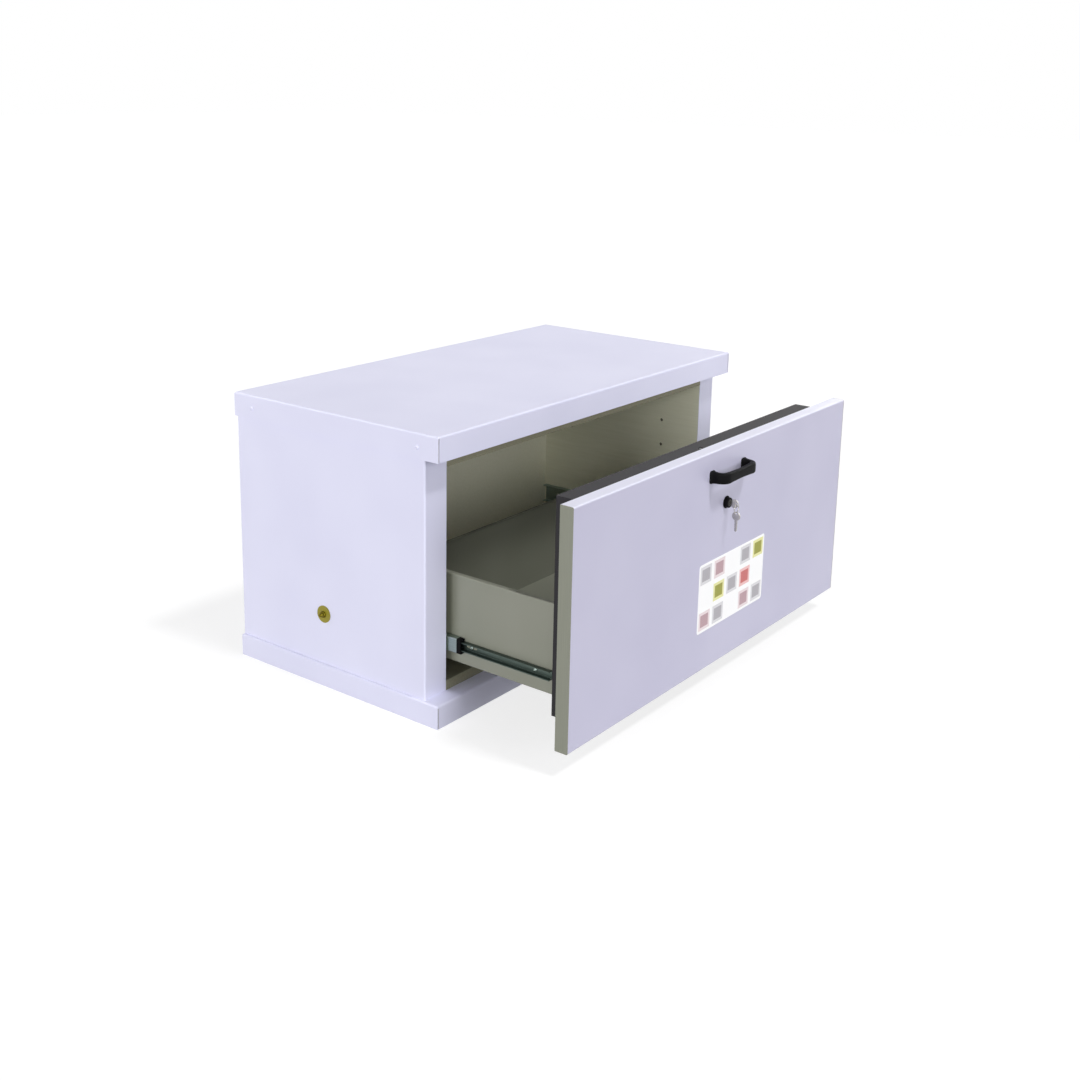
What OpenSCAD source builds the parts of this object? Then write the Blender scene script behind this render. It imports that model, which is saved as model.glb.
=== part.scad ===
// Fire-resistant under-bench safety cabinet with one wide pull-out drawer.
// Millimetres, +Z up, front towards -Y, origin at the centre of the base's underside.
// Drawn with the drawer part way out on its ball runners.

/* [Carcass] */
// Width over the cover and the base
carcass_w = 1100; // [900:10:1400]
// Depth over the cover and the base
carcass_d = 575; // [520:5:700]
// Overall height
carcass_h = 600; // [540:5:760]
// Height of the folded top cover
cover_h = 52; // [46:1:60]
// Height of the folded base
base_h = 49; // [44:1:60]
// Thickness of the side walls
side_t = 63.5; // [54:0.5:74]
// Step from the cover's edge in to the side walls
side_inset = 6; // [4:1:16]
// Step from the cover's front edge back to the side walls
front_setback = 38.5; // [36:0.5:42]
// Thickness of the back wall
back_t = 62; // [50:1:62]
// Sheet of the outer skins
sheet_t = 1.2; // [1:0.1:1.5]
// Outside radius of the sheet folds
fold_r = 4; // [3:0.5:6]
// Sheet of the inner liners
liner_t = 1; // [0.8:0.1:1.5]

/* [Drawer front] */
// Thickness of the front panel
front_t = 29; // [24:1:32]
// Gap between the base and the front panel
front_gap_low = 2; // [2:0.5:6]
// Gap between the front panel and the cover
front_gap_top = 20; // [12:1:24]
// Thickness of the insulating plug behind the front
plug_t = 61.5; // [50:0.5:61.5]
// Step from the front's lower edge up to the plug
plug_rise = 24; // [20:1:30]
// Step from the front's upper edge down to the plug
plug_drop = 12.5; // [11:0.5:16]
// Space left between the front and the side walls for the gasket
seal_gap = 4; // [3:0.5:5]
// Width of the gasket strip
gasket_w = 8; // [6:0.5:8]

/* [Drawer tray] */
// Height of the tray's sides
tray_h = 187; // [120:1:260]
// Step from the base up to the tray's floor
tray_rise = 59; // [50:1:80]
// Sheet of the tray
tray_sheet = 1.2; // [1:0.1:1.5]
// Width of the tray's folded rim
tray_rim = 9; // [6:1:14]

/* [Runners] */
// Space between the runners' rear ends and the back wall
runner_room = 5.5; // [5.5:0.5:20]
// Space between the wall and the tray that a runner fills
runner_t = 19; // [18.5:0.5:22]
// Height of the runner's outer member
runner_h = 45; // [44:1:50]
// Sheet of the runner members
runner_sheet = 1.8; // [1.5:0.1:1.8]
// Height of the runners' centre above the tray's floor
runner_rise = 42; // [32:1:60]
// Distance the drawer is drawn out
drawer_out = 322; // [0:1:340]
// Distance between neighbouring balls
ball_pitch = 24; // [20:1:30]

/* [Handle and lock] */
// Distance between the handle's legs
handle_span = 130; // [96:1:192]
// Height of the handle's grip
handle_h = 25; // [20:1:30]
// How far the grip stands out from the front
handle_out = 36; // [34:1:50]
// Step from the front's upper edge down to the handle
handle_drop = 53; // [40:1:60]
// Step from the front's upper edge down to the lock
lock_drop = 122; // [110:1:150]
// Radius of the lock's turning cylinder
cylinder_r = 7; // [6:0.5:7.5]
// Number of teeth on the lock's pinion
pinion_teeth = 16; // [14:2:16]
// Module of the pinion and the rack
tooth_module = 1.25; // [1:0.05:1.25]
// Radius of a key's bow
bow_r = 9.5; // [9:0.5:12]
// Radius of the key ring
ring_r = 9; // [8:0.5:11]

/* [Fittings] */
// Distance of a cover screw from the cover's corner
screw_inset = 54; // [30:1:90]
// Height of the cover screws above the cover's lower edge
screw_rise = 23; // [16:1:30]
// Diameter of the earthing disc
earth_d = 37; // [30:1:45]
// Distance of the earthing point behind the middle of the side
earth_y = 33; // [-60:1:80]
// Height of the earthing point
earth_z = 160; // [120:1:200]
// Inside diameter of the air collars
collar_d = 70; // [50:1:80]
// Length of the air collars outside the back
collar_out = 30; // [25:1:45]
// Distance of each collar from the nearer side wall
collar_inset = 180.5; // [120:0.5:250]
// Step from the ceiling down to the collars
collar_drop = 111.5; // [90:0.5:160]
// Distance of the front shelf-pin holes behind the wall's front edge
pin_front = 108; // [80:1:130]
// Distance between front and rear shelf-pin holes
pin_depth = 282; // [200:1:282]
// Distance between lower and upper shelf-pin holes
pin_pitch = 64; // [32:32:64]
// Height of the lower shelf-pin holes above the base
pin_rise = 301; // [280:1:320]

/* [Hidden] */
$fn = 64;
// Overcut of subtracted forms
cut = 1;
// Gap around the cores inside their skins
core_gap = 0.1;
w2 = carcass_w / 2;
y_front = -carcass_d / 2;
y_back = carcass_d / 2;
z_cover = carcass_h - cover_h;
side_out = w2 - side_inset;
side_in = side_out - side_t;
y_side = y_front + front_setback;
back_in = y_back - back_t;
// Seams between the cover's folded flanges
seam_w = 2.2;
seam_d = sheet_t + core_gap / 2;

// Drawer front, given with the drawer closed
front_back = y_side - seal_gap;
front_y = front_back - front_t;
front_z = base_h + front_gap_low;
front_top = z_cover - front_gap_top;
front_edge_r = 3;
edge_band_t = 1.5;
backing_t = 1;
plug_back = front_back + plug_t;
plug_z = front_z + plug_rise;
plug_top = front_top - plug_drop;
plug_side_gap = 2.5;
plug_w2 = side_in - plug_side_gap;
plug_room = 5;
floor_top = plug_z - plug_room;
ceiling_z = plug_top + plug_room;
gasket_gap = 2;
gasket_slack = 0.5;
gasket_t = seal_gap - gasket_slack;
gasket_bulb = 1.6;

// Runner cross-section: u runs from the wall to the tray, v up from the centre
runner_z = base_h + tray_rise + runner_rise;
stop_l = 10;
stop_room = 1.5;
runner_front = plug_back + stop_l + stop_room;
runner_l = back_in - runner_room - runner_front;
race_gap = 4.7;
ball_clear = 0.35;
ball_slack = 0.05;
ball_r = race_gap / 2 - ball_slack;
race_r = ball_r + ball_clear;
bend_r = 2.6;
outer_v = runner_h / 2;
outer_open = 3;
outer_u = runner_t - outer_open;
middle_v = outer_v - runner_sheet - race_gap;
middle_inset = 4;
middle_open = 2;
middle_u1 = runner_t - middle_open;
inner_v = middle_v - runner_sheet - race_gap;
inner_inset = 7;
race_v_out = outer_v - runner_sheet - race_gap / 2;
race_v_in = middle_v - runner_sheet - race_gap / 2;
race_u_out = 10;
race_u_in = 12;
cage_t = 1;
cage_web_out = 2.4;
cage_web_in = 6.1;
cage_web_t = 0.6;
cage_lip = 2.9;
ball_hole_r = ball_r + ball_slack;
outer_cage_share = 0.475;
inner_cage_share = 0.35;
outer_cage_l = runner_l * outer_cage_share;
inner_cage_l = runner_l * inner_cage_share;
stop_clear = 0.7;
runner_screw_end = 40;
runner_screw_r = 2.1;
runner_screw_head_r = 3.8;
runner_screw_l = 14;
pan_head_h = 1.6;
// Slot in the inner member round its middle screw
adjust_l = 28;
adjust_r = 2.8;
head_taper = 1;
// The inner members run out to their stops first, then the middle members follow
inner_share = 0.5725;
inner_out = min(drawer_out, runner_l * inner_share);
middle_out = drawer_out - inner_out;

// Tray
tray_z = base_h + tray_rise;
tray_w2 = side_in - runner_t;
tray_extra = 2;
tray_l = runner_l + tray_extra;
tray_bend = 2.5;
tray_top = tray_z + tray_h;
rim_drop = 6;
wall_join = 0.1;

// Handle
handle_z = front_top - handle_drop;
handle_leg = 14;
handle_grip = 13;
handle_corner = 20;
handle_inner_r = 12;
handle_edge = 6;
foot_w = 20;
foot_t = 3;
foot_r = 6;
handle_screw_r = 2.5;
handle_screw_head_r = 5;
handle_screw_head_h = 3;
handle_screw_in = 14;
screw_play = 0.1;
head_room = 1;
foot_over = 1;

// Lock, measured back from the front's face
lock_z = front_top - lock_drop;
barrel_wall = 2.5;
barrel_r = cylinder_r + barrel_wall;
barrel_in = 24;
nose_wall = 4;
nose_r = cylinder_r + nose_wall;
nose_l = 9;
rosette_rim = 6.5;
rosette_r = cylinder_r + rosette_rim;
rosette_t = 2;
lock_edge = 1;
turn_play = 0.05;
lock_nut_t = 6;
lock_nut_rim = 5;
lock_nut_r = barrel_r + lock_nut_rim;
pinion_r = pinion_teeth * tooth_module / 2;
pinion_w = 8;
pinion_gap = 1;
pinion_y = front_back + barrel_in + pinion_gap;
pressure = 20;
stub = 0.8;
root_depth = 1.15;
addendum = stub * tooth_module;
dedendum = root_depth * tooth_module;
flank_steps = 5;
tooth_play = 0.25;
rack_pitch = PI * tooth_module;
rack_teeth = 9;
teeth_above = 3;
bar_w = 9;
bar_gap = 0.4;
bar_sunk = 1.5;
bar_top = plug_top - bar_sunk;
bar_low = lock_z - rack_pitch * (rack_teeth - teeth_above + 0.5);
// Height that the rack's upper tooth reaches after a quarter turn
rack_top = lock_z + rack_pitch * teeth_above + PI * pinion_r / 2;
bar_x1 = -pinion_r - dedendum;
bar_x0 = bar_x1 - bar_w;
slot_x0 = bar_x0 - bar_gap;
slot_room = 1.5;
slot_x1 = pinion_r + addendum + slot_room;
slot_y1 = pinion_y + pinion_w + slot_room;
slot_end = 6;
slot_low = bar_low - slot_end;
slot_cover = 14;
guide_h = 16;
guide_rise = 32;
guide_drop = 2;
guide_z = [lock_z + guide_rise, plug_top - slot_cover - guide_h - guide_drop];
strike_t = 1.5;
strike_w = 44;
strike_d = 30;
strike_play = 2;
strike_depth = 22;

// Keys
key_t = 2;
blade_h = 6;
blade_l = 24;
blade_tip = 3;
keyway_play = 0.15;
shoulder = 1;
bow_hole_r = 2.2;
bow_hole_off = 5.8;
bit_pitch = 4.8;
bit_d = 1.4;
bit_step = 0.5;
bit_count = 4;
wire_r = 0.9;
wire_gap = 0.3;
key_hole_y = front_y - nose_l - shoulder - bow_r - bow_hole_off;
ring_top = lock_z - bow_hole_r + wire_r + wire_gap;
ring_z = ring_top - ring_r;
spare_z = ring_z - ring_r - bow_hole_r + wire_r + wire_gap;

// Fittings
cover_screw_r = 2;
cover_screw_head_r = 4.6;
cover_screw_head_h = 2.6;
cover_screw_l = 12;
earth_t = 2;
earth_r = 4;
earth_nut_r = 7.5;
earth_nut_h = 4;
earth_stud_out = 14;
earth_in = 20;
collar_r0 = collar_d / 2;
collar_wall = 2;
collar_r1 = collar_r0 + collar_wall;
collar_play = 0.3;
collar_hole_r = collar_r1 + collar_play;
collar_rim = 11;
collar_rim_r = collar_r1 + collar_rim;
collar_rim_t = 2;
flap_play = 0.6;
flap_r = collar_r0 - flap_play;
flap_t = 2;
flap_pin_r = 2;
flap_pin_end = 0.4;
flap_y = (back_in + y_back) / 2;
pin_r = 4;
pin_hole_l = 14;
back_flange = 20;
collar_x = side_in - collar_inset;
collar_z = ceiling_z - collar_drop;

// Outlines and placing

// Rectangle between two corners with rounded corners
module round_rect(x0, y0, x1, y1, r) {
    translate([x0 + r, y0]) square([x1 - x0 - 2 * r, y1 - y0]);
    translate([x0, y0 + r]) square([x1 - x0, y1 - y0 - 2 * r]);
    for (x = [x0 + r, x1 - r], y = [y0 + r, y1 - r]) translate([x, y]) circle(r = r);
}

// Rectangle standing on the X axis with its two upper corners rounded
module dome_rect(w, h, r) {
    translate([-w / 2, 0]) square([w, h - r]);
    translate([r - w / 2, 0]) square([w - 2 * r, h]);
    for (s = [-1, 1]) translate([s * (w / 2 - r), h - r]) circle(r = r);
}

// Block between two opposite corners
module block(a, b) {
    translate(a) cube(b - a);
}

// Outline in X and Z drawn out along Y
module along_y(y0, l) {
    translate([0, y0 + l, 0]) rotate([90, 0, 0]) linear_extrude(height = l) children();
}

// Outline in Y and Z drawn out along X
module along_x(x0, l) {
    translate([x0, 0, 0]) rotate([90, 0, 90]) linear_extrude(height = l) children();
}

// Round bar along Y from y0 to y1
module rod_y(x, z, r, y0, y1) {
    translate([x, y0, z]) rotate([-90, 0, 0]) cylinder(r = r, h = y1 - y0);
}

// Round bar along X from x0 to x1
module rod_x(y, z, r, x0, x1) {
    translate([x0, y, z]) rotate([0, 90, 0]) cylinder(r = r, h = x1 - x0);
}

// The same piece on both sides
module both_sides() {
    children();
    mirror([1, 0, 0]) children();
}

module on_left() {
    mirror([1, 0, 0]) children();
}

module drawn_out(distance) {
    translate([0, -distance, 0]) children();
}

// Cover and base

// Solid with its four upper edges rounded
module tray_block(w, d, h, r) {
    intersection() {
        along_x(-w / 2, w) dome_rect(d, h, r);
        along_y(-d / 2, d) dome_rect(w, h, r);
    }
}

// Folded tray lying with its opening down, with seams beside its corners
module folded_tray(h) {
    difference() {
        tray_block(carcass_w, carcass_d, h, fold_r);
        translate([0, 0, -cut])
            tray_block(carcass_w - 2 * sheet_t, carcass_d - 2 * sheet_t, h - sheet_t + cut, fold_r - sheet_t);
        for (sx = [-1, 1], sy = [-1, 1])
            translate([sx * (w2 - sheet_t - seam_w), sy * y_back, (h - fold_r) / 2 - cut])
                cube([seam_w, 2 * seam_d, h - fold_r + 2 * cut], center = true);
    }
}

// Board that fills a folded tray above its closing sheet
module tray_core(h) {
    inset = 2 * (sheet_t + core_gap);
    intersection() {
        tray_block(carcass_w - inset, carcass_d - inset, h - sheet_t - core_gap, fold_r - sheet_t - core_gap);
        block([-w2, y_front, sheet_t], [w2, y_back, h]);
    }
}

module closing_sheet() {
    inset = sheet_t + core_gap;
    block([inset - w2, y_front + inset, 0], [w2 - inset, y_back - inset, sheet_t]);
}

module top_cover() color([0.90, 0.90, 0.94]) difference() {
    translate([0, 0, z_cover]) folded_tray(cover_h);
    cover_screw_places() rod_x(0, 0, cover_screw_r + screw_play, -cut - sheet_t, cut);
}

module top_core() color([0.80, 0.76, 0.66]) difference() {
    translate([0, 0, z_cover]) tray_core(cover_h);
    cover_screw_places() rod_x(0, 0, cover_screw_r + screw_play, -cover_screw_l - cut, cut);
}

module cover_sheet() color([0.86, 0.86, 0.90]) translate([0, 0, z_cover]) closing_sheet();

module base_cover() color([0.90, 0.90, 0.94]) folded_tray(base_h);

module base_core() color([0.80, 0.76, 0.66]) tray_core(base_h);

module base_sheet() color([0.86, 0.86, 0.90]) closing_sheet();

// Places of the cover screws on the cover's two end faces
module cover_screw_places() {
    both_sides() for (s = [-1, 1])
        translate([w2, s * (y_back - screw_inset), z_cover + screw_rise]) children();
}

module cover_screws() color([0.75, 0.75, 0.76]) cover_screw_places() {
    rotate([0, 90, 0]) cylinder(r1 = cover_screw_head_r, r2 = cover_screw_head_r - head_taper, h = cover_screw_head_h);
    rod_x(0, 0, cover_screw_r, -cover_screw_l, 0);
}

// Side walls

// Skin folded round the outer face, the front edge and the rear edge
module side_skin() color([0.90, 0.90, 0.94])
    translate([0, 0, base_h]) linear_extrude(height = z_cover - base_h) intersection() {
        difference() {
            round_rect(side_in - 2 * fold_r, y_side, side_out, y_back, fold_r);
            round_rect(side_in - 3 * fold_r, y_side + sheet_t, side_out - sheet_t, y_back - sheet_t,
                       fold_r - sheet_t);
        }
        translate([side_in, y_side]) square([side_t, y_back - y_side]);
    }

module side_core() color([0.80, 0.76, 0.66]) difference() {
    translate([0, 0, base_h]) linear_extrude(height = z_cover - base_h) intersection() {
        round_rect(side_in - 3 * fold_r, y_side + sheet_t + core_gap, side_out - sheet_t - core_gap,
                   y_back - sheet_t - core_gap, fold_r - sheet_t - core_gap);
        translate([side_in + liner_t, y_side]) square([side_t, y_back - y_side]);
    }
    shelf_pin_holes();
    wall_screw_places() rod_x(0, 0, runner_screw_r + screw_play, 0, runner_screw_l + cut);
}

module liner() color([0.56, 0.56, 0.48]) difference() {
    block([side_in, y_side + sheet_t, base_h], [side_in + liner_t, back_in, z_cover]);
    shelf_pin_holes();
    wall_screw_places() rod_x(0, 0, runner_screw_r + screw_play, -cut, runner_screw_l);
}

// Two rows of blind holes for shelf pins
module shelf_pin_holes() {
    for (y = [0, pin_depth], z = [0, pin_pitch])
        rod_x(y_side + pin_front + y, base_h + pin_rise + z, pin_r, side_in - cut, side_in + pin_hole_l);
}

module left_side_skin() on_left() side_skin_with_earth();
module right_side_skin() side_skin();
module left_side_core() on_left() difference() {
    side_core();
    rod_x(earth_y, earth_z, earth_r + screw_play, side_out - earth_in - cut, side_out);
}
module right_side_core() side_core();
module left_liner() on_left() liner();
module right_liner() liner();

module side_skin_with_earth() difference() {
    side_skin();
    rod_x(earth_y, earth_z, earth_r + screw_play, side_out - 2 * sheet_t, side_out + cut);
}

// Earthing point on the left wall
module earth_disc() color([0.80, 0.72, 0.12]) on_left() difference() {
    rod_x(earth_y, earth_z, earth_d / 2, side_out, side_out + earth_t);
    rod_x(earth_y, earth_z, earth_r + screw_play, side_out - cut, side_out + earth_t + cut);
}

module earth_stud() color([0.30, 0.29, 0.25]) on_left() {
    rod_x(earth_y, earth_z, earth_r, side_out - earth_in, side_out + earth_stud_out);
    translate([side_out + earth_t, earth_y, earth_z]) rotate([0, 90, 0])
        cylinder(r = earth_nut_r, h = earth_nut_h, $fn = 6);
}

// Back wall

module back_skin() color([0.86, 0.86, 0.90]) difference() {
    along_x(-side_in, 2 * side_in) intersection() {
        difference() {
            round_rect(back_in - 3 * fold_r, base_h, y_back, z_cover, fold_r);
            round_rect(back_in - 4 * fold_r, base_h + sheet_t, y_back - sheet_t, z_cover - sheet_t,
                       fold_r - sheet_t);
        }
        translate([y_back - back_flange, base_h]) square([back_flange, z_cover - base_h]);
    }
    collar_places() rod_y(0, 0, collar_hole_r, y_back - 2 * sheet_t, y_back + cut);
}

module back_core() color([0.80, 0.76, 0.66]) difference() {
    along_x(-side_in, 2 * side_in) intersection() {
        round_rect(back_in - 3 * fold_r, base_h + sheet_t + core_gap, y_back - sheet_t - core_gap,
                   z_cover - sheet_t - core_gap, fold_r - sheet_t - core_gap);
        translate([back_in + liner_t, base_h]) square([back_t, z_cover - base_h]);
    }
    collar_places() rod_y(0, 0, collar_hole_r, back_in - cut, y_back);
}

module back_liner() color([0.56, 0.56, 0.48]) difference() {
    block([-side_in, back_in, base_h], [side_in, back_in + liner_t, z_cover]);
    collar_places() rod_y(0, 0, collar_hole_r, back_in - cut, back_in + 2 * liner_t);
}

module collar_places() {
    for (s = [-1, 1]) translate([s * collar_x, 0, collar_z]) children();
}

// Air collar through the back wall with a rim outside
module collar() color([0.62, 0.63, 0.64]) difference() {
    translate([0, back_in, 0]) rotate([-90, 0, 0]) rotate_extrude() {
        translate([collar_r0, 0]) square([collar_r1 - collar_r0, back_t + collar_out]);
        translate([collar_r0, back_t]) square([collar_rim_r - collar_r0, collar_rim_t]);
    }
    rod_x(flap_y, 0, flap_pin_r + turn_play, -collar_r1 - cut, collar_r1 + cut);
}

// Flap on a cross pin, drawn open
module flap() color([0.55, 0.56, 0.57]) translate([0, flap_y, 0]) {
    cylinder(r = flap_r, h = flap_t, center = true);
    rod_x(0, 0, flap_pin_r, flap_pin_end - collar_r1, collar_r1 - flap_pin_end);
}

module exhaust_collar() translate([collar_x, 0, collar_z]) collar();
module supply_collar() translate([-collar_x, 0, collar_z]) collar();
module exhaust_flap() translate([collar_x, 0, collar_z]) flap();
module supply_flap() translate([-collar_x, 0, collar_z]) flap();

// Ceiling and floor boards behind the drawer front

module ceiling_board() color([0.56, 0.56, 0.48]) difference() {
    block([-side_in, y_side, ceiling_z], [side_in, back_in, z_cover]);
    strike_outline(strike_w, strike_d, -cut, strike_t);
    strike_outline(bar_w + 2 * strike_play, pinion_w + 2 * strike_play, 0, strike_depth);
}

module floor_board() color([0.56, 0.56, 0.48])
    block([-side_in, y_side, base_h], [side_in, back_in, floor_top]);

// Block over the lock bar's place in the ceiling, from z0 to z1 above the ceiling's face
module strike_outline(w, d, z0, z1) {
    translate([(bar_x0 + bar_x1) / 2 - w / 2, pinion_y + pinion_w / 2 - d / 2, ceiling_z + z0])
        cube([w, d, z1 - z0]);
}

module strike_plate() color([0.72, 0.72, 0.73]) difference() {
    strike_outline(strike_w, strike_d, 0, strike_t);
    strike_outline(bar_w + 2 * strike_play, pinion_w + 2 * strike_play, -cut, strike_t + cut);
}

// Runners

// Rolled channel in u and v with its web at u0 and its open side at u1
module channel(u0, u1, v, t) {
    intersection() {
        difference() {
            round_rect(u0, -v, u1 + 2 * bend_r, v, bend_r);
            round_rect(u0 + t, t - v, u1 + 3 * bend_r, v - t, bend_r - t);
        }
        translate([u0, -v]) square([u1 - u0, 2 * v]);
    }
}

// Grooves that the balls run in
module races(u, v) {
    for (s = [-1, 1]) translate([u, s * v]) circle(r = race_r);
}

// Outline in u and v set on the right wall and drawn out along Y
module on_wall(y0, l) {
    along_y(y0, l) translate([side_in, runner_z]) mirror([1, 0]) children();
}

module wall_screw_places() {
    for (y = [runner_screw_end, runner_l / 2, runner_l - runner_screw_end])
        translate([side_in, runner_front + y, runner_z]) children();
}

module tray_screw_places() {
    for (y = [runner_screw_end, runner_l / 2, runner_l - runner_screw_end])
        translate([tray_w2, runner_front + y, runner_z]) children();
}

// Countersunk screw with its head flush in the outer member's web
module wall_screw(play) {
    rod_x(0, 0, runner_screw_r + play, -runner_sheet, runner_screw_l);
    translate([-runner_sheet, 0, 0]) rotate([0, 90, 0])
        cylinder(r1 = runner_screw_head_r + play, r2 = runner_screw_r + play, h = runner_sheet);
}

module runner_outer() color([0.60, 0.64, 0.62]) difference() {
    on_wall(runner_front, runner_l) difference() {
        channel(0, outer_u, outer_v, runner_sheet);
        races(race_u_out, race_v_out);
    }
    wall_screw_places() wall_screw(screw_play);
}

module runner_middle() color([0.60, 0.64, 0.62]) on_wall(runner_front, runner_l) difference() {
    channel(middle_inset, middle_u1, middle_v, runner_sheet);
    races(race_u_out, race_v_out);
    races(race_u_in, race_v_in);
}

module runner_inner() color([0.60, 0.64, 0.62]) difference() {
    on_wall(runner_front, runner_l) translate([runner_t, 0]) mirror([1, 0]) difference() {
        channel(0, runner_t - inner_inset, inner_v, runner_sheet);
        races(runner_t - race_u_in, race_v_in);
    }
    tray_screw_places() rod_x(0, 0, runner_screw_r + screw_play, -cut, runner_sheet + cut);
    translate([tray_w2, runner_front + runner_l / 2, runner_z]) adjusting_slot();
}

// Oblong hole that lets the member be set true before its screws are driven
module adjusting_slot() {
    slot_end_y = adjust_l / 2 - adjust_r;
    for (s = [-1, 1]) rod_x(s * slot_end_y, 0, adjust_r, -cut, runner_sheet + cut);
    block([-cut, -slot_end_y, -adjust_r], [runner_sheet + cut, slot_end_y, adjust_r]);
}

// Plastic stop on the front end of a middle member, open towards the tray
module runner_stop() color([0.06, 0.06, 0.06]) on_wall(runner_front - stop_l, stop_l) difference() {
    round_rect(middle_inset, -middle_v, middle_u1, middle_v, bend_r);
    translate([inner_inset - stop_clear, -inner_v - stop_clear])
        square([runner_t, 2 * (inner_v + stop_clear)]);
}

// Row of ball places along a cage, in u and v
module ball_places(u, v, l) {
    count = floor((l - ball_pitch / 2) / ball_pitch);
    for (i = [0:count - 1], s = [-1, 1])
        translate([side_in - u, (i - (count - 1) / 2) * ball_pitch, runner_z + s * v]) children();
}

// Cage strip with its balls, centred on y = 0
module ball_cage(web_u, web_t, u, v, l) {
    difference() {
        on_wall(-l / 2, l) difference() {
            translate([web_u, -v - cage_t / 2]) square([u + cage_lip - web_u, 2 * v + cage_t]);
            translate([web_u + web_t, cage_t / 2 - v]) square([runner_t, 2 * v - cage_t]);
        }
        ball_places(u, v, l) cylinder(r = ball_hole_r, h = 2 * cage_t, center = true);
    }
    ball_places(u, v, l) sphere(r = ball_r);
}

// Cages stand half way between the two members that roll on them
module outer_ball_cages() color([0.80, 0.80, 0.80]) drawn_out(middle_out / 2)
    translate([0, runner_front + runner_l / 2, 0]) both_sides()
        ball_cage(cage_web_out, cage_t, race_u_out, race_v_out, outer_cage_l);

module inner_ball_cages() color([0.80, 0.80, 0.80]) drawn_out(middle_out + inner_out / 2)
    translate([0, runner_front + runner_l / 2, 0]) both_sides()
        ball_cage(cage_web_in, cage_web_t, race_u_in, race_v_in, inner_cage_l);

module left_runner_outer() on_left() runner_outer();
module right_runner_outer() runner_outer();
module runner_wall_screws() color([0.70, 0.71, 0.70]) both_sides() wall_screw_places() wall_screw(0);
module left_runner_middle() drawn_out(middle_out) on_left() runner_middle();
module right_runner_middle() drawn_out(middle_out) runner_middle();
module left_runner_stop() drawn_out(middle_out) on_left() runner_stop();
module right_runner_stop() drawn_out(middle_out) runner_stop();
module left_runner_inner() drawn_out(drawer_out) on_left() runner_inner();
module right_runner_inner() drawn_out(drawer_out) runner_inner();

// Pan-head screws through the inner members into the tray's sides
module runner_tray_screws() color([0.70, 0.71, 0.70]) drawn_out(drawer_out) both_sides() tray_screw_places() {
    rod_x(0, 0, runner_screw_r, -tray_sheet, runner_sheet);
    translate([runner_sheet, 0, 0]) rotate([0, 90, 0])
        cylinder(r1 = runner_screw_head_r, r2 = runner_screw_head_r - head_taper, h = pan_head_h);
}

// Drawer front

// Skin folded over the front face, the upper edge and the lower edge
module front_skin() color([0.88, 0.88, 0.92]) drawn_out(drawer_out) difference() {
    along_x(edge_band_t - w2, carcass_w - 2 * edge_band_t) intersection() {
        difference() {
            round_rect(front_y, front_z, front_back + 2 * front_edge_r, front_top, front_edge_r);
            round_rect(front_y + sheet_t, front_z + sheet_t, front_back + 3 * front_edge_r,
                       front_top - sheet_t, front_edge_r - sheet_t);
        }
        translate([front_y, front_z]) square([front_t, front_top - front_z]);
    }
    front_holes();
}

module front_core() color([0.80, 0.76, 0.66]) drawn_out(drawer_out) difference() {
    along_x(edge_band_t - w2, carcass_w - 2 * edge_band_t) intersection() {
        round_rect(front_y + sheet_t + core_gap, front_z + sheet_t + core_gap, front_back + 3 * front_edge_r,
                   front_top - sheet_t - core_gap, front_edge_r - sheet_t - core_gap);
        translate([front_y, front_z]) square([front_t - backing_t, front_top - front_z]);
    }
    front_holes();
}

module front_backing() color([0.80, 0.80, 0.82]) drawn_out(drawer_out) difference() {
    block([edge_band_t - w2, front_back - backing_t, front_z + sheet_t],
          [w2 - edge_band_t, front_back, front_top - sheet_t]);
    front_holes();
}

// Bands that close the panel's two upright edges
module edge_bands() color([0.53, 0.54, 0.49]) drawn_out(drawer_out) both_sides()
    along_x(w2 - edge_band_t, edge_band_t) intersection() {
        round_rect(front_y, front_z, front_back + 2 * front_edge_r, front_top, front_edge_r);
        translate([front_y, front_z]) square([front_t, front_top - front_z]);
    }

// Holes through the panel for the lock's barrel and the handle's screws
module front_holes() {
    rod_y(0, lock_z, barrel_r + screw_play, front_y - cut, front_back + cut);
    for (s = [-1, 1])
        rod_y(s * handle_span / 2, handle_z, handle_screw_r + screw_play, front_y - cut, front_back + cut);
}

// Plug that fills the carcass opening, with room for the lock and the screw heads
module fire_plug() color([0.07, 0.07, 0.075]) drawn_out(drawer_out) difference() {
    block([-plug_w2, front_back, plug_z], [plug_w2, plug_back, plug_top]);
    for (s = [-1, 1])
        rod_y(s * handle_span / 2, handle_z, handle_screw_head_r + head_room, front_back - cut,
              front_back + handle_screw_head_h + head_room);
    rod_y(0, lock_z, lock_nut_r + head_room, front_back - cut, front_back + barrel_in + pinion_gap);
    block([slot_x0, front_back - cut, slot_low],
          [bar_x1 + bar_gap, slot_y1, plug_top - slot_cover]);
    block([slot_x0, pinion_y - bar_gap, slot_low], [slot_x1, slot_y1, lock_z + slot_x1]);
    block([slot_x0, pinion_y - bar_gap, slot_low],
          [addendum - pinion_r + bar_gap, slot_y1, rack_top + slot_room]);
    block([slot_x0, pinion_y - bar_gap, plug_top - slot_cover - cut],
          [bar_x1 + bar_gap, pinion_y + pinion_w + bar_gap, plug_top + cut]);
}

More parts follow.
